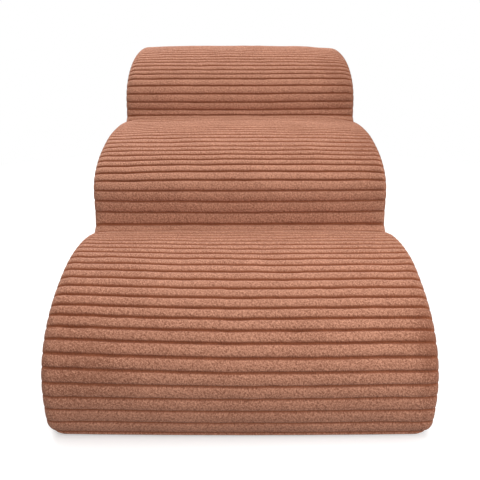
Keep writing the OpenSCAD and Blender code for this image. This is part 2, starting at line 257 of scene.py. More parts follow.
def foam_block(name, node, start, end):
    """Round each slice across the width: the sawn top at the plush's underside less a clearance,
    the back face, the underside and the front face. The lower side edges follow the turned-under
    side panels in a quarter round, and the upper ones are eased. The trough behind the zip has
    a flat floor and parabolas on both sides."""
    inner, outer = WIDTH / 2 - TURN_UNDER, WIDTH / 2 - CLOTH - SPARE
    x = np.r_[np.linspace(-outer, -inner, 8), np.linspace(5 - inner, inner - 5, 37),
              np.linspace(inner, outer, 8)]
    s = np.linspace(start, end, 150)
    wide, path = np.meshgrid(x, s, indexing="ij")
    ease = 1.8 * ((np.abs(wide) - FACE_HALF).clip(0) / (outer - FACE_HALF)) ** 2
    spare = SPARE * np.where(back_fade(path) < 1, 2, 1)
    top = inset(path, spare + under_depth(wide, path) + ease)
    foot = TURN_UNDER + FLOOR_GAP \
        - np.sqrt((outer - inner) ** 2 - (np.abs(x) - inner).clip(0) ** 2)
    if start == 0:
        low, near_hem = STEPS[0]["low"], path < 60
        lift = foot[:, None] + (top[..., 1] - FLOOR_GAP) * (low - foot[:, None]) \
            / (low - FLOOR_GAP)
        top[..., 1] = np.where(near_hem & (top[..., 1] < low), lift, top[..., 1])
    face = [along(start)[0] + GLUE, along(end)[0] - GLUE]
    drop = np.linspace(0, 1, 60)[1:, None]
    if node == "foam_block_rear":
        face[1] = DEPTH / 2 - CLOTH - SPARE
    else:
        top[..., 0] = top[..., 0].clip(max=face[1])
    if start > 0:
        top[..., 0] = top[..., 0].clip(min=face[0])
    back_z = top[:, -1, 1] + (foot - top[:, -1, 1]) * drop
    back_y = face[1] + (top[:, -1, 0] - face[1]) * (1 - drop / drop[6]).clip(0) + 0 * back_z
    if node == "foam_block_rear":
        deep, flat_half, bend = 6.5, 17.6, 8
        back_y -= deep * (1 - ((np.abs(back_z - ZIP_Z) - flat_half) / bend).clip(0, 1) ** 2)
    under = np.linspace(0, 1, 40)[1:, None]
    under_y = back_y[-1] + ((top[:, 0, 0] if start == 0 else face[0]) - back_y[-1]) * under
    rise = np.linspace(0, 1, 24)[1:-1, None] if start > 0 else np.zeros((0, 1))
    loop_y = np.concatenate([top[..., 0].T, back_y, under_y[:-1] if start == 0 else under_y,
                             face[0] + 0 * rise + 0 * x])
    loop_z = np.concatenate([top[..., 1].T, back_z,
                             (foot + 0 * under)[:-1] if start == 0 else foot + 0 * under,
                             foot + (top[:, 0, 1] - foot) * rise])
    points = np.stack([np.broadcast_to(x, loop_y.shape), loop_y, loop_z], -1)
    piece = skin(name, points.transpose(1, 0, 2), loops=True, ends=True)
    fit(piece, FOAM, "foam", node)


def glue_line(step, start, stop):
    """How far along the outline a step ends, looked for between two distances."""
    part = (RUN >= start) & (RUN < stop)
    return np.interp(step["end"] - DEPTH / 2, OUTLINE[part, 0], RUN[part])


FOAM = foam_finish()
glued = [glue_line(STEPS[0], 0, 500), glue_line(STEPS[1], 500, 800)]
foam_block("foam_front", "foam_block_front", 0, glued[0])
foam_block("foam_middle", "foam_block_middle", *glued)
foam_block("foam_rear", "foam_block_rear", glued[1], LONG)

# Step panel. One strip of wide-ribbed plush on wadding runs from the front hem up over all the
# steps and down to the back. It is woven with deep grooves across the stairs and sewn to the
# side panels along both rounded edges.
PITCH, GROOVE, FIRST_GROOVE, WALES = 13.9, 3.0, 10.2, 76


def ripple(x, y, length, seed, waves=14):
    """A smooth random height of about -1 to 1: a sum of plane waves of about one length, each
    with its own heading and start."""
    draw = np.random.default_rng(seed)
    heading, start = draw.uniform(0, np.pi, waves), draw.uniform(0, 2 * np.pi, waves)
    count = 2 * np.pi / (length * draw.uniform(0.7, 1.6, waves))
    total = 0
    for turn, phase, k in zip(heading, start, count):
        total = total + np.sin(k * (x * math.cos(turn) + y * math.sin(turn)) + phase)
    return total / math.sqrt(waves)


def smooth(value):
    """An even S from 0 to 1."""
    value = np.clip(value, 0, 1)
    return value * value * (3 - 2 * value)


def half_width(z):
    """Half the width at a height: the sides turn under in a quarter round at the floor."""
    rise = (np.asarray(z) - FLOOR_GAP).clip(0, TURN_UNDER)
    return WIDTH / 2 - TURN_UNDER + np.sqrt(TURN_UNDER ** 2 - (TURN_UNDER - rise) ** 2)


def plush_finish(name, pale, deep, hollow, grain=1.0, relief=1.0):
    """Plush: short pile in streaks along the stairs, darker patches of painted shade (lighter
    where that shade is below 0, as painted light), and a deeper colour painted down in the grooves
    and seams as their shade. The hollow colour is that painted shade."""
    material, wire = finish(name)
    lay = wire.read("lay")
    groove, painted_shade = wire.read("hollow", "Fac"), wire.read("painted_shade", "Fac")
    streak = wire.noise(lay, (900 * grain, 600 * grain, 1), 1, 0.5, 0.25)
    cross = wire.noise(lay, (700 * grain, 760 * grain, 1), 1, 0.6, -0.5)
    clump = wire.noise(lay, (430 * grain, 400 * grain, 1), 1, 0.5, 0.5)
    tuft = wire.noise(lay, (150, 110, 1), 2, 0.55, 0.8)
    drift = wire.noise(lay, (17, 13, 1), 2, 0.5)
    # The last term paints shade in patches, and painted light where it is below 0.
    value = 0.5 + (streak - 0.5) * 1.1 + (cross - 0.5) * 1.4 + (clump - 0.5) * 1.5 \
        + (tuft - 0.5) * 0.5 + (drift - 0.5) * 0.4 - painted_shade * 0.2
    colour = wire.mix(value.held(), deep, pale)
    # Painted shade: the colour turns to the hollow colour where the hollow attribute marks the
    # grooves.
    colour = wire.mix((groove * (0.75 + streak * 0.5)).held(), colour, hollow)
    height = streak * 0.45 + cross * 0.5 + clump * 0.5 + tuft * 0.5
    wire.shade(colour, Roughness=0.93, Sheen_Weight=0.08, Sheen_Roughness=0.5,
               Sheen_Tint=(1.0, 0.82, 0.74, 1), Specular_IOR_Level=0.15,
               Normal=wire.bump(height, 0.0018 * relief, 0.8))
    return material


def lay_on(piece, across, lengthwise, hollow, painted_shade):
    """Stores where each point lies on its cloth, in metres, how deep in a hollow it is, which sets
    the shade painted into the grooves, and how much painted shade darkens it in patches (painted
    light below 0)."""
    lay = piece.data.attributes.new("lay", "FLOAT_VECTOR", "POINT")
    flat = np.stack([across * MM, lengthwise * MM, 0 * across], -1).astype(np.float32)
    lay.data.foreach_set("vector", flat.ravel())
    for name, value in (("hollow", hollow), ("painted_shade", painted_shade)):
        kept = piece.data.attributes.new(name, "FLOAT", "POINT")
        kept.data.foreach_set("value", value.astype(np.float32).ravel())


def eased(s, *stops):
    """A value along the outline, from stops of (distance, value) joined by even S curves."""
    at, value = np.array(stops, float).T
    k = np.searchsorted(at, s).clip(1, len(at) - 1)
    share = smooth((s - at[k - 1]) / (at[k] - at[k - 1]))
    return value[k - 1] + (value[k] - value[k - 1]) * share


def wale_start(count):
    """Distance along the outline of each groove by its count. The strip is stretched a little
    here and gathered there, so that the even ribs shift by some millimetres."""
    s = FIRST_GROOVE + PITCH * (count - 1)
    return s + eased(s, (5, -5.6), (24, -4.1), (40, -2.2), (62, -1.2), (84, -0.5), (108, 1.4),
                     (135, 0.9), (150, 0), (316, 0), (350, 5), (371, 2.2), (385, 3), (413, 6.1),
                     (427, 8.1), (441, 8.4), (456, 7.4), (470, 4.6), (484, 2.6), (498, 0.3),
                     (512, -0.6), (526, 1.8), (540, 4.8), (560, 5.8), (600, 5.8), (690, 2),
                     (705, 5), (719, 2), (733, -2.9), (747, -3.8), (761, -2.5), (775, 0),
                     (789, 2.2), (817, 0), (844, 1.6), (860, 0), (1041, 0))


def crown(s, side):
    """How far the plush lies below the outline beside its rounded edge. The bottom tread is
    flat, the middle one falls to both sides, and the top one falls to the right."""
    left = eased(s, (0, 2), (150, 0.5), (330, 0), (380, 2.5), (650, 3), (720, 2), (800, 0.8),
                 (1000, 0.5))
    right = eased(s, (0, 2), (150, 0), (240, -0.8), (330, -0.8), (380, 2.5), (650, 3), (720, 2),
                  (860, 2.4), (1000, 2.4))
    return (left if side < 0 else right) * back_fade(s)


def slack(s, x):
    """How far the grooves run on along the outline beside the middle, where the strip was sewn
    in with some slack: most at the left end of the bottom step."""
    left = eased(s, (0, 0.8), (40, 1.6), (90, 5.6), (150, 6), (210, 7.5), (270, 8), (350, 0),
                 (420, 0), (450, -1.6), (500, 0.8), (1040, 0))
    right = eased(s, (0, 0), (70, 2.0), (150, 1.8), (210, 1.6), (270, 1.2), (350, 1), (440, 1),
                  (510, 3.5), (600, 3.5), (700, 1), (760, 2.5), (860, 5), (1040, 4))
    wide = np.abs(x) / FACE_HALF
    return np.where(x < 0, left * wide ** 1.4, right * smooth(wide))


def painted_shade_patches(s, x):
    """Painted shade: how much darker the plush is painted over the left end of the bottom step, at
    the right ends of the upper steps and in the last 30 mm at the right of the bottom one, where
    those parts lie in shade. Below 0 it is painted light, a little of it on the middle step's
    front."""
    left = eased(s, (25, 0), (75, 1), (125, 1), (165, 0.5), (300, 0.4), (340, 0))
    right = eased(s, (400, 0), (460, 1), (580, 1), (640, 0), (700, 0.5), (765, 1.2), (830, 1.2),
                  (880, 0.4), (1041, 0))
    front = eased(s, (400, 0), (450, 0.6), (510, 0))
    rim = eased(s, (0, 0.6), (30, 0.8), (60, 1.7), (110, 2.8), (140, 2), (170, 0.9), (300, 0.2),
                (1041, 0.3))
    return left * smooth((-x - 60) / 100) + right * smooth((x - 110) / 75) \
        + rim * smooth((x - 168) / 26) - front


def pressed_out(rows=121, columns=35, most=1.6):
    """How far the foam presses the strip out between its seams, in millimetres, on a coarse grid
    of the outline by the width. Blender's Cloth swells a plain skin of the panel, held along all
    four seams, from within. Its movement square to the outline is scaled to a most."""
    s = np.linspace(0, LONG, rows)[:, None] + np.zeros((1, columns))
    x = (half_width(along(s)[..., 1]) - 6) * np.linspace(1, -1, columns)
    before = np.concatenate([x[..., None], inset(s, 2 + 0 * s)], -1)
    strip = skin("strip_on_trial", before)
    seams = np.ones((rows, columns), bool)
    seams[1:-1, 1:-1] = False
    strip.vertex_groups.new(name="seams").add(np.flatnonzero(seams).tolist(), 1.0, "ADD")
    cloth = strip.modifiers.new("pressed", "CLOTH")
    cloth.settings.vertex_group_mass = "seams"
    cloth.settings.use_pressure, cloth.settings.uniform_pressure_force = True, 4
    cloth.settings.effector_weights.gravity = 0
    cloth.point_cache.frame_start, cloth.point_cache.frame_end = 1, 20
    for moment in range(1, 21):
        bpy.context.scene.frame_set(moment)
    swollen = strip.evaluated_get(bpy.context.evaluated_depsgraph_get()).to_mesh()
    after = np.zeros(before.size)
    swollen.vertices.foreach_get("co", after)
    bpy.context.scene.frame_set(1)
    bpy.data.meshes.remove(strip.data)
    moved = (after.reshape(before.shape) / MM - before)[:, ::-1]
    out = (moved[..., 1:] * outward(s)).sum(-1)
    return (out * most / np.abs(out).max()).clip(0, most)


def between(grid, down, across):
    """Reads a grid between its points, at shares from 0 to 1 of its rows and columns."""
    down, across = down * (len(grid) - 1), across * (grid.shape[1] - 1)
    row = down.astype(int).clip(max=len(grid) - 2)
    column = across.astype(int).clip(max=grid.shape[1] - 2)
    down, across = down - row, across - column
    upper = grid[row, column] * (1 - across) + grid[row, column + 1] * across
    lower = grid[row + 1, column] * (1 - across) + grid[row + 1, column + 1] * across
    return upper * (1 - down) + lower * down


def across_strip(s, half):
    """Each row across the strip: a face crowned by a parabola, and a superellipse down to each
    seam. Gives each point's place across, its depth below the outline, and how far it leans
    across and outwards."""
    wide = {-1: eased(s, (0, 12), (60, 15), (180, 18), (240, 15), (330, 15), (400, 18), (500, 16),
                      (580, 10), (690, 10), (760, 18), (900, 20), (1041, 14)),
            1: eased(s, (0, 12), (60, 17), (180, 16), (240, 10), (320, 10), (400, 18), (500, 16),
                     (580, 10), (690, 10), (760, 22), (900, 36), (1041, 14))}
    even = 2.3 + 0.4 * eased(s, (180, 0), (240, 1), (320, 1), (400, 0), (500, 0), (580, 1),
                             (690, 1), (760, 0))
    power = {-1: even, 1: even - eased(s, (700, 0), (900, 0.3), (1041, 0))}
    inner = {side: half - wide[side] for side in (-1, 1)}
    low = {side: crown(s, side) for side in (-1, 1)}
    drop = PLUSH_T + (EDGE_DROP - PLUSH_T) * back_fade(s)
    share = np.linspace(-1, 1, 57)[None]
    place = np.where(share < 0, share * inner[-1], share * inner[1])
    dip = np.where(share < 0, low[-1], low[1]) * share ** 2
    section = [np.stack(np.broadcast_arrays(place, dip, 0 * s, 1 + 0 * s), -1)]
    corner = np.linspace(0, np.pi / 2, 12)[1:]
    for side in (-1, 1):
        far = np.sin(corner) ** (2 / power[side])
        fall = np.cos(corner).clip(0) ** (2 / power[side])
        rise = drop - low[side]
        lean = np.stack([far ** (power[side] - 1) / wide[side],
                         fall ** (power[side] - 1) / rise], -1)
        lean = lean / np.linalg.norm(lean, axis=-1, keepdims=True)
        edge = np.stack(np.broadcast_arrays(side * (inner[side] + wide[side] * far),
                                            drop - rise * fall,
                                            side * lean[..., 0], lean[..., 1]), -1)
        section = [edge[:, ::-1]] + section if side < 0 else section + [edge]
    return np.moveaxis(np.concatenate(section, axis=1), -1, 0)


def groove_cut(s, phase, stretch, tread):
    """How deep each point lies below its rib's crest, as a share of a groove: slowly at first
    with a power of the distance from the rib's middle, then steeply into the groove. Treads are
    cut deeper, and wear varies it."""
    worn = (1 + 0.14 * ripple(stretch, s, 40, 5) + 0.08 * ripple(stretch, s, 12, 6)).clip(0.5, 1.4)
    cut = 0.55 * np.abs(phase) ** 2.2 + 0.45 * smooth((np.abs(phase) - 0.68) / 0.24)
    cut = cut * (1 + 0.35 * tread - 0.5 * eased(s, (900, 0), (960, 1), (1000, 1), (1041, 0)))
    return cut * worn * smooth(s / 4) * smooth((LONG - s) / 5)


def step_panel():
    """Rows across the strip, close together in the grooves, run round its padded face, curl in
    at both seams and come back along the underside."""
    cuts = np.array([0, 0.04, 0.07, 0.1, 0.14, 0.22, 0.35, 0.5, 0.65, 0.78, 0.86, 0.9, 0.93, 0.96])
    count = (np.arange(WALES)[:, None] + cuts).ravel()
    place = wale_start(count)
    rows = np.r_[0, 0.35, place[(place > 0.8) & (place < LONG - 0.8)], LONG - 0.35, LONG]
    phase = (np.interp(rows, place, count)[:, None] % 1) * 2 - 1
    s, half = rows[:, None], half_width(along(rows)[:, 1])[:, None]
    x, depth, lean_x, lean_d = across_strip(s, half)

    stretch = np.cumsum(np.hypot(np.diff(x, axis=1, prepend=x[:, :1]),
                                 np.diff(depth, axis=1, prepend=depth[:, :1])), axis=1)
    stretch = stretch - stretch[:, stretch.shape[1] // 2, None]
    ends = smooth(s / 12) * smooth((LONG - s) / 12)
    wander = 0.2 * ripple(stretch, s * 0.35, 80, 3) + 0.11 * ripple(stretch, s, 24, 4)
    path = (s + (wander + slack(s, x)) * ends).clip(0, LONG)

    tread = outward(s)[..., 1].clip(0)
    bare = 1 - 0.8 * smooth((np.abs(x) - half + 9) / 8)
    pressed = between(pressed_out(), s / LONG + 0 * x, (x / (half - 6)).clip(-1, 1) * 0.5 + 0.5)
    swell = 0.32 * ripple(stretch, s, 95, 7) + 0.16 * ripple(stretch, s, 30, 8) + pressed - 0.45 \
        + eased(s, (330, 0), (352, 1.3), (362, 1.3), (376, 0), (670, 0), (704, 3.6), (714, 3),
                (732, 0)) \
        + eased(s, (800, 0), (960, 2.4), (1005, 2.4), (1035, 0)) \
        * (1 - (x / FACE_HALF) ** 4).clip(0)
    sunk = GROOVE * groove_cut(s, phase, stretch, tread) * bare \
        - swell * smooth((WIDTH / 2 - np.abs(x)) / 30) * smooth(s / 30) * smooth((LONG - s) / 30)
    hem = 2.2 * ((1 - s / 3).clip(0) ** 2 + (1 - (LONG - s) / 3).clip(0) ** 2)
    x = x - sunk * lean_x
    depth = depth + sunk * lean_d + hem

    rim, under_x = half - 1.8, np.linspace(1, -1, 11)[None, 1:-1] * (half - 4)
    under = np.concatenate([rim, under_x, -rim], axis=1)
    all_x = np.concatenate([x, under], axis=1)
    all_depth = np.concatenate([depth, under_depth(under, s)], axis=1)
    all_s = np.concatenate([path, s + 0 * under], axis=1)
    points = np.concatenate([all_x[..., None], inset(all_s, all_depth)], -1)
    piece = skin("ribbed_plush_panel", points, loops=True, ends=True)
    # Painted shade for the grooves: it starts where each rib turns down and is stronger on treads.
    start = 0.76 - 0.13 * tread
    hollow = (0.82 + 0.18 * tread) * smooth((np.abs(phase) - start) / 0.16)
    # The underside is painted all in the hollow colour as shade, and the face gets darker patches
    # of painted shade.
    lay_on(piece, np.concatenate([stretch, under], axis=1), s + 0 * all_s,
           np.concatenate([hollow + 0 * x, 1 + 0 * under], axis=1), painted_shade_patches(s, all_x))
    return piece


# The third colour is painted shade for the grooves and the underside.
RIBBED = plush_finish("ribbed_plush", (0.60, 0.290, 0.188), (0.25, 0.097, 0.056),
                      (0.262, 0.082, 0.037))
fit(step_panel(), RIBBED, "ribbed_plush", "cover_step_panel")

# Side panels. Each is one flat piece of short plush cut to the stepped outline. It is sewn to
# the step panel all the way up, turns under at the floor in a quarter round, and the foam
# swells it a little between its seams.
SEAM = 0.3
BACK = DEPTH / 2


def add_cloth(piece, thickness=CLOTH):
    """Gives a sheet its thickness, inwards from its face."""
    wall = piece.modifiers.new("cloth", "SOLIDIFY")
    wall.thickness, wall.offset = thickness * MM, -1


def side_panel(name, side):
    """Rings from the rim to a middle line. The middle line runs 60 mm behind the stepped edge,
    never turns back and ends before the back. Each of its points is paired with one of the floor
    edge or, near its end, of the back edge. That edge stays upright to just under the top, where
    a high power bends it in, and its points lie closer at both ends. The face swells with the
    distance from the rim, and curls in at the seam."""
    s = np.linspace(0, LONG, 381)
    upper = inset(s, EDGE_DROP * back_fade(s) + PLUSH_T * (1 - back_fade(s)) + SEAM)
    behind, last_y, heel_y, low_z, climb, slope = 60, 360, 320, 60, 130, 0.01
    line = np.maximum.accumulate(upper[:, 0] - behind * outward(s)[:, 0]) + slope * s
    line = np.minimum(line, last_y + slope * s)
    spine = np.c_[line, low_z + climb * (line - line[0]) / (line[-1] - line[0])]
    heel = np.searchsorted(line, heel_y)
    front, back = upper[0], upper[-1]
    floor = front[0] + (BACK - front[0]) * (line[:heel] - line[0]) / (line[heel] - line[0])
    up = 0.5 - 0.5 * np.cos(np.linspace(0, np.pi, len(s) - heel))
    rear = np.c_[BACK + (back[0] - BACK) * up ** 400, FLOOR_GAP + (back[1] - FLOOR_GAP) * up]
    lower = np.concatenate([np.c_[floor, FLOOR_GAP + 0 * floor], rear])
    rim = np.concatenate([upper, lower[::-1][1:-1]])
    middle = np.concatenate([spine, spine[::-1][1:-1]])
    reach = np.linalg.norm(middle - rim, axis=1)[:, None]
    ring = np.array([0, 0.5, 1.1, 1.9, 3, 4.6, 7, 10.5, 15, 20])
    part = np.concatenate([ring / reach, ring[-1] / reach
                           + (1 - ring[-1] / reach) * np.array([0.25, 0.5, 0.75, 1])], axis=1)
    flat = rim[:, None] + (middle - rim)[:, None] * part[..., None]
    y, z = flat[..., 0], flat[..., 1]
    inside = np.stack([np.hypot(y[:, k, None] - rim[:, 0], z[:, k, None] - rim[:, 1]).min(1)
                       for k in range(y.shape[1])], 1)
    level = smooth((z - 14) / 26)
    waves = 0.8 * ripple(y, z, 110, 21) + 0.35 * ripple(y, z, 42, 22)
    swell = 2.4 * (1 - np.exp(-inside / 20)) + waves * (1 - np.exp(-inside / 14))
    curl = 1.5 * np.exp(-inside / 1.7)
    x = half_width(z) + swell * level - curl * (z > 16)
    points = np.stack([x, y, z], -1)
    piece = skin(name, points.transpose(1, 0, 2) * [side, 1, 1], loops=True)
    close_up(piece, side)
    lay_on_points(piece)
    add_cloth(piece)
    return piece


def close_up(piece, side):
    """Merges the points that meet along the middle line and turns the faces outwards."""
    work = bmesh.new()
    work.from_mesh(piece.data)
    bmesh.ops.remove_doubles(work, verts=work.verts, dist=2e-5)
    bmesh.ops.recalc_face_normals(work, faces=work.faces)
    if sum(face.normal.x * face.calc_area() for face in work.faces) * side < 0:
        bmesh.ops.reverse_faces(work, faces=work.faces)
    work.to_mesh(piece.data)
    work.free()


def lay_on_points(piece):
    """Stores each point's place on a panel that hangs in the plane of y and z."""
    spots = np.zeros(len(piece.data.vertices) * 3)
    piece.data.vertices.foreach_get("co", spots)
    x, y, z = spots.reshape(-1, 3).T / MM
    lay_on(piece, y, z, 0 * z, 0 * z)


# The third colour is painted shade for grooves, which these panels don't have.
SIDE = plush_finish("side_plush", (0.49, 0.228, 0.146), (0.29, 0.115, 0.066), (0.18, 0.055, 0.025),
                    grain=0.9, relief=0.7)
for side, name in ((1, "right"), (-1, "left")):
    panel = side_panel("plush_side_" + name, side)
    fit(panel, SIDE, "side_cloth", "cover_side_" + name)

# Back panels. Two pieces of the side plush close the back between the side panels. Their edges
# fold in over the zip, and two rows of stitches hold each fold down on the zip's tape.
HEM, SEAM_TOP, SEAM_LOW = 8, 334.6, 3.2


def back_swell(x, z, away):
    """How far the back panels swell at a distance from their seams."""
    return (1.5 + 0.7 * ripple(x, z, 90, 31) + 0.3 * ripple(x, z, 34, 32)) \
        * (1 - np.exp(-away / 16))


def back_panel(name, node, top):
    """Rows across the back follow a line down the panel: the face, a quarter round and the hem
    turned in. The face swells away from its seams, and its rim curls in."""
    turn = np.linspace(0, np.pi / 2, 7)
    fold = 2.4
    if top:
        z = np.r_[SEAM_TOP - np.array([0, 0.6, 1.4, 2.6, 4.5, 8]), np.linspace(320, 80, 46),
                  [77, 75]]
        line = np.concatenate([
            np.c_[BACK + 0 * z, z],
            np.c_[BACK - fold + fold * np.cos(turn), ZIP_Z + HEM + fold - fold * np.sin(turn)],
            [[BACK - 3.6, ZIP_Z + HEM], [BACK - 4.8, ZIP_Z + HEM]]])
    else:
        z = np.r_[[49, 46], np.linspace(43, 9, 12), 7.5, 6.2, 5.2, 4.4, 3.8, 3.4, SEAM_LOW]
        line = np.concatenate([
            [[BACK - 4.8, ZIP_Z - HEM], [BACK - 3.6, ZIP_Z - HEM]],
            np.c_[BACK - fold + fold * np.sin(turn), ZIP_Z - HEM - fold + fold * np.cos(turn)],
            np.c_[BACK + 0 * z, z]])
    y, z = line[:, :1], line[:, 1:]
    turn_in = TURN_UNDER - CLOTH
    half = WIDTH / 2 - TURN_UNDER \
        + np.sqrt(turn_in ** 2 - (TURN_UNDER + FLOOR_GAP - z).clip(0, turn_in) ** 2)
    share = np.sin(np.linspace(-1, 1, 85) * np.pi / 2)[None]
    x = share * half
    side, rim = half - np.abs(x), (SEAM_TOP - z if top else z - SEAM_LOW) + 0 * x
    hem = np.abs(z - ZIP_Z) - HEM + 0 * x
    away = np.minimum(np.minimum(side, rim), 4 * hem.clip(0))
    y = y + back_swell(x, z, away) - 1.4 * np.exp(-np.minimum(side, rim) / 1.7) * (hem > 3)
    points = np.stack([x, y, z + 0 * x], -1)[:, ::-1]
    piece = skin(name, points)
    lay_on(piece, points[..., 0], points[..., 2], 0 * x, 0 * x)
    add_cloth(piece)
    fit(piece, SIDE, "side_cloth", node)


def repeat(name, unit, places):
    """One closed unit, a grid of loops, copied to every place as one mesh."""
    rows, columns = unit.shape[:2]
    index = np.arange(rows * columns).reshape(rows, columns)
    index = np.c_[index, index[:, :1]]
    quads = np.stack([index[:-1, :-1], index[:-1, 1:], index[1:, 1:], index[1:, :-1]], -1)
    quads = quads.reshape(-1, 4)
    flat = unit.reshape(-1, 3)
    a, b, c, d = (flat[quads[:, k]] for k in range(4))
    caps = [index[0, -2::-1], index[-1, :-1]]
    if (np.cross(a, b) * c).sum() + (np.cross(a, c) * d).sum() < 0:
        quads, caps = quads[:, ::-1], [cap[::-1] for cap in caps]
    step = np.arange(len(places)) * len(flat)
    faces = (quads[None] + step[:, None, None]).reshape(-1, 4).tolist()
    for cap in caps:
        faces += (cap[None] + step[:, None]).tolist()
    return add_piece(name, (flat[None] + np.asarray(places)[:, None]).reshape(-1, 3), faces)


def boxed(value, power):
    """A sine or cosine that is made boxier by a power under 1."""
    return np.sign(value) * np.abs(value) ** power


def bead(half, power=1.0, rows=7, columns=10):
    """Loops over a rounded bead of given half sizes, from one end in X to the other: an
    ellipsoid, made boxier by a power under 1."""
    u = np.linspace(0.06, np.pi - 0.06, rows)[:, None]
    v = np.linspace(0, 2 * np.pi, columns, endpoint=False)[None]
    ring = boxed(np.sin(u), power)
    return np.stack([-boxed(np.cos(u), power) * half[0] + 0 * v,
                     ring * boxed(np.cos(v), power) * half[1],
                     ring * boxed(np.sin(v), power) * half[2]], -1)


def thread_finish():
    """Twisted sewing thread in the plush's brown."""
    material, wire = finish("sewing_thread")
    twist = wire.node("TexWave", {"bands_direction": "DIAGONAL"},
                      {"Vector": wire.place(), "Scale": 900.0, "Distortion": 0.6})
    colour = wire.mix(twist, (0.20, 0.085, 0.048), (0.34, 0.155, 0.095))
    wire.shade(colour, Roughness=0.6, Normal=wire.bump(twist, 0.0002))
    return material


def hem_stitches():
    """Two rows of stitches along each folded hem, on the panels' swollen faces."""
    x = np.arange(-188, 188.1, 3.6)
    rows = []
    for side in (-1, 1):
        for gap in (4.5, 11):
            z = ZIP_Z + side * (HEM + gap)
            swell = back_swell(x, z, np.minimum(WIDTH / 2 - CLOTH - np.abs(x), 4 * gap))
            rows.append(np.c_[x, BACK + 0.12 + swell, z + 0 * x])
    stitch = bead((1.35, 0.32, 0.3), rows=6, columns=8)
    fit(repeat("hem_stitches", stitch, np.concatenate(rows)), thread_finish(), "side_cloth")


back_panel("plush_back_upper", "cover_back_upper", True)
back_panel("plush_back_lower", "cover_back_lower", False)
hem_stitches()

# Base. A sheet of grey non-slip cloth closes the cover underneath, sewn to the step panel's hem,
# the turned-under side panels and the lower back panel. Rubber grip dots are printed on it.
BASE_FRONT = FRONT_TUCK + EDGE_DROP + SEAM - BACK


def base_finish():
    """Grey-brown cloth in a plain weave."""
    material, wire = finish("base_weave")
    across = wire.node("TexWave", {"bands_direction": "X"}, {"Vector": wire.place(),
                                                             "Scale": 260.0})
    along_y = wire.node("TexWave", {"bands_direction": "Y"}, {"Vector": wire.place(),
                                                              "Scale": 260.0})
    weave = wire.math("MAXIMUM", across, along_y)
    worn = wire.noise(wire.place(), (12, 12, 12), 4)
    colour = wire.mix((weave * 0.6 + worn * 0.5).held(), (0.052, 0.046, 0.043),
                      (0.125, 0.112, 0.104))
    wire.shade(colour, Roughness=0.85, Normal=wire.bump(weave, 0.0004, 0.8))
    return material


def rubber_finish():
    """Black rubber, dusty where it has stood on a floor."""
    material, wire = finish("grip_rubber")
    dust = wire.noise(wire.place(), (160, 160, 160), 4, 0.6)
    colour = wire.mix(dust, (0.018, 0.018, 0.018), (0.05, 0.047, 0.044))
    wire.shade(colour, Roughness=0.4 + dust * 0.35, Normal=wire.bump(dust, 0.0002, 0.5))
    return material


def base_panel():
    """A flat sheet, its rim lifted a little into the seams and its front edge a shallow V."""
    share = np.r_[-1, -0.985, np.linspace(-0.95, 0.95, 45), 0.985, 1][None]
    run = np.r_[0, 0.003, 0.009, np.linspace(0.02, 0.98, 70), 0.992, 0.997, 1][:, None]
    half = WIDTH / 2 - TURN_UNDER
    x = share * half + 0 * run
    front = BASE_FRONT - 7 * (1 - np.abs(share))
    y = front + (BACK - 0.4 - front) * run
    rim = np.minimum(half - np.abs(x), np.minimum(y - front, BACK - y))
    z = FLOOR_GAP + 0.7 * np.exp(-rim / 2.5) + 0 * x
    piece = skin("non_slip_base", np.stack([x, y, z], -1))
    add_cloth(piece, 1.6)
    fit(piece, base_finish(), "base_cloth", "base_panel")


def grip_dots(pitch=52, sides=20):
    """A low dome in loops from the cloth down to a flat sole, repeated over the base."""
    profile = np.array([[6, 1.2], [6, 0.8], [5.75, 0.42], [5.2, 0.14], [4.4, 0.0]])
    turn = np.linspace(0, 2 * np.pi, sides, endpoint=False)
    unit = np.stack([profile[:, :1] * np.cos(turn), profile[:, :1] * np.sin(turn),
                     profile[:, 1:] + 0 * turn], -1)
    across, down = np.arange(-3, 4) * pitch, (BACK + BASE_FRONT) / 2 + np.arange(-7, 8) * pitch
    x, y = np.meshgrid(across, down)
    places = np.c_[x.ravel(), y.ravel(), 0 * x.ravel()]
    fit(repeat("rubber_grip_dots", unit, places), rubber_finish(), "grip_rubber", "grip_dots")


base_panel()
grip_dots()

# Zip. Two woven tapes are sewn behind the folded hems. Each carries a row of moulded brown
# teeth, with stops at both ends, and folded cloth tabs hold the tapes' ends.
TAPE_Y, SLIT, CLASP, TAPE_W, TAPE_T, TAPE_HALF = 399, 1.2, 1.2, 15, 0.8, 177


def tape_finish():
    """Brown polyester tape in a fine herringbone."""
    material, wire = finish("zip_tape_weave")
    left = wire.node("TexWave", {"bands_direction": "DIAGONAL"},
                     {"Vector": wire.place(), "Scale": 420.0, "Distortion": 0.4})
    ribs = wire.node("TexWave", {"bands_direction": "Z"}, {"Vector": wire.place(),
                                                           "Scale": 160.0})
    weave = left * 0.7 + ribs * 0.3
    colour = wire.mix(weave, (0.17, 0.072, 0.042), (0.30, 0.135, 0.085))
    wire.shade(colour, Roughness=0.75, Normal=wire.bump(weave, 0.00025, 0.8))
    return material


def zip_tape(name, node, side):
    """A flat rounded loop carried along the zip, a little wavy where it isn't sewn."""
    turn = np.linspace(0, 2 * np.pi, 18, endpoint=False)[None]
    x = np.linspace(-TAPE_HALF, TAPE_HALF, 120)[:, None]
    wide, thick = boxed(np.cos(turn), 0.3), boxed(np.sin(turn), 0.5)
    start = ZIP_Z + side * (SLIT / 2 + CLASP)
    z = start + side * TAPE_W / 2 * (1 + wide) + 0 * x
    loose = smooth((np.abs(z - start) - 4) / 8)
    y = TAPE_Y - TAPE_T / 2 + 0.36 * thick - (0.25 + 0.2 * ripple(x, z, 30, 41)) * loose
    piece = skin(name, np.stack([x + 0 * z, y, z], -1), loops=True, ends=True)
    fit(piece, TAPE, "zip_tape", node)


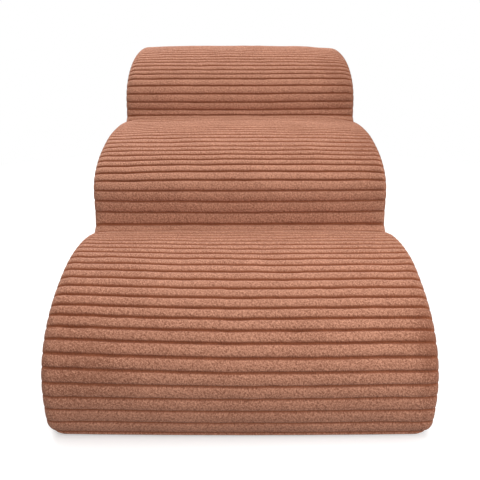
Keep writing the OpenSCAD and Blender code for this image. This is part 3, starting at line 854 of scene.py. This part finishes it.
def end_tabs():
    """Two boxy beads of folded cloth over the tapes' ends, run out to the side panels."""
    unit = bead((17.6, 1.0, 8), power=0.22, rows=18, columns=28)
    places = [(side * 180.4, TAPE_Y + 1.0, ZIP_Z) for side in (-1, 1)]
    fit(repeat("zip_end_tab_cloth", unit, places), TAPE, "zip_tape", "zip_end_tabs")


def teeth_finish():
    """Brown moulded plastic, slightly glossy, a little paler on some teeth."""
    material, wire = finish("moulded_teeth")
    batch = wire.noise(wire.place(), (90, 90, 90), 2)
    colour = wire.mix(batch, (0.145, 0.058, 0.032), (0.22, 0.095, 0.055))
    wire.shade(colour, Roughness=0.32 + batch * 0.15, Normal=wire.bump(batch, 0.0001, 0.5))
    return material


def metal_finish():
    """Nickel-plated zinc, tumbled bright, with fine scratches and duller patches."""
    material, wire = finish("nickel_plate")
    scratch = wire.noise(wire.place(), (300, 300, 2600), 4, 0.6)
    dull = wire.noise(wire.place(), (180, 180, 180), 3)
    colour = wire.mix(dull, (0.52, 0.49, 0.45), (0.70, 0.68, 0.65))
    wire.shade(colour, Metallic=1.0, Roughness=0.2 + dull * 0.2 + scratch * 0.12,
               Normal=wire.bump(scratch, 0.00006, 0.5))
    return material


def rounded_cast(name, node, radius, body, metal):
    """A copy of a CAD part's solid with its doubled points merged, its flats made whole and its
    edges rounded by a Bevel."""
    work = bmesh.new()
    work.from_mesh(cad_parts[node].data)
    bmesh.ops.remove_doubles(work, verts=work.verts, dist=1e-6)
    bmesh.ops.dissolve_limit(work, angle_limit=0.02, verts=work.verts, edges=work.edges)
    bmesh.ops.recalc_face_normals(work, faces=work.faces)
    mesh = bpy.data.meshes.new(name)
    work.to_mesh(mesh)
    work.free()
    piece = bpy.data.objects.new(name, mesh)
    bpy.context.scene.collection.objects.link(piece)
    edge = piece.modifiers.new("eased_edges", "BEVEL")
    edge.width, edge.segments, edge.limit_method = radius * MM, 3, "ANGLE"
    edge.angle_limit, edge.use_clamp_overlap = math.radians(35), True
    mesh.shade_smooth()
    fit(piece, metal, "zip_metal", node, body=body)


TAPE = tape_finish()
zip_tape("zip_tape_upper_web", "zip_tape_upper", 1)
zip_tape("zip_tape_lower_web", "zip_tape_lower", -1)
end_tabs()
TEETH = teeth_finish()
for node in ("zip_teeth_upper", "zip_teeth_lower", "zip_stops"):
    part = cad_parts[node]
    part.data.materials.clear()
    part.data.materials.append(TEETH)

# Slider and pull. A die-cast slider with two plates, a divider and a bridge runs on the teeth.
# The pull is stamped, with a cross bar under the bridge on which it swings.
NICKEL = metal_finish()
rounded_cast("slider_casting", "zip_slider", 0.28, "slider", NICKEL)
rounded_cast("pull_tab", "zip_pull", 0.2, "pull", NICKEL)

# Floor, light and camera. A pale floor that turns into the white background away from the
# stairs, a broad soft lamp overhead, a smaller one to the right in front, and an even dome.
bpy.ops.mesh.primitive_plane_add(size=12)
floor = bpy.context.object
floor.name = "floor"
material, wire = finish("floor")
seen = wire.node("LightPath", out="Is Camera Ray")
grey = wire.mix(seen, (0.34, 0.33, 0.33), (0.8, 0.8, 0.8))
paper = wire.node("BsdfDiffuse", {}, {"Color": grey})
glow = wire.node("Emission", {}, {"Color": (1, 1, 1, 1), "Strength": seen * 0.34})
near = wire.node("AddShader", {}, {0: paper, 1: glow})
far = wire.node("Emission", {}, {"Color": (1, 1, 1, 1), "Strength": seen})
away = wire.node("VectorMath", {"operation": "LENGTH"}, {0: wire.place()}, out="Value")
away = ((away - 0.65) * 2.0).held()
both = wire.node("MixShader", {}, {0: away, 1: near, 2: far})
wire.node("OutputMaterial", {}, {"Surface": both})
floor.data.materials.append(material)

world = bpy.data.worlds.new("studio")
bpy.context.scene.world = world
world.use_nodes = True
world.node_tree.nodes.clear()
sky = Wire(world.node_tree)
rays = sky.node("LightPath").socket.node.outputs
seen = (Wire(sky.tree, rays["Is Camera Ray"]) + Wire(sky.tree, rays["Is Glossy Ray"])
        + Wire(sky.tree, rays["Is Transmission Ray"])).held()
dome = sky.node("Background", {}, {"Color": (1, 1, 1, 1), "Strength": 0.65 + seen * 0.35})
sky.node("OutputWorld", {}, {"Surface": dome})


def lamp(name, place, aim, size, energy):
    """A square soft lamp turned to face a point."""
    light = bpy.data.lights.new(name, "AREA")
    light.size, light.energy = size, energy
    holder = bpy.data.objects.new(name, light)
    holder.location = place
    holder.rotation_euler = (Vector(aim) - Vector(place)).to_track_quat("-Z", "Y").to_euler()
    bpy.context.scene.collection.objects.link(holder)


lamp("overhead", (0.15, 0.0, 2.1), (0, 0, 0.2), 2.0, 24)
lamp("front", (0.75, -1.12, 0.65), (0.05, -0.4, 0.1), 0.6, 6.6)
lamp("behind", (-0.9, 1.7, 1.3), (0, 0.3, 0.15), 1.2, 34)

LOOKS_DOWN = 19.62
camera = bpy.data.objects.new("camera", bpy.data.cameras.new("camera"))
camera.data.lens = 45
camera.location = (0, -0.9124, 0.4015)
camera.rotation_euler = (math.radians(90 - LOOKS_DOWN), 0, 0)
camera.data.clip_start = 0.05
bpy.context.scene.collection.objects.link(camera)
bpy.context.scene.camera = camera
bpy.context.scene.view_settings.view_transform = "Standard"
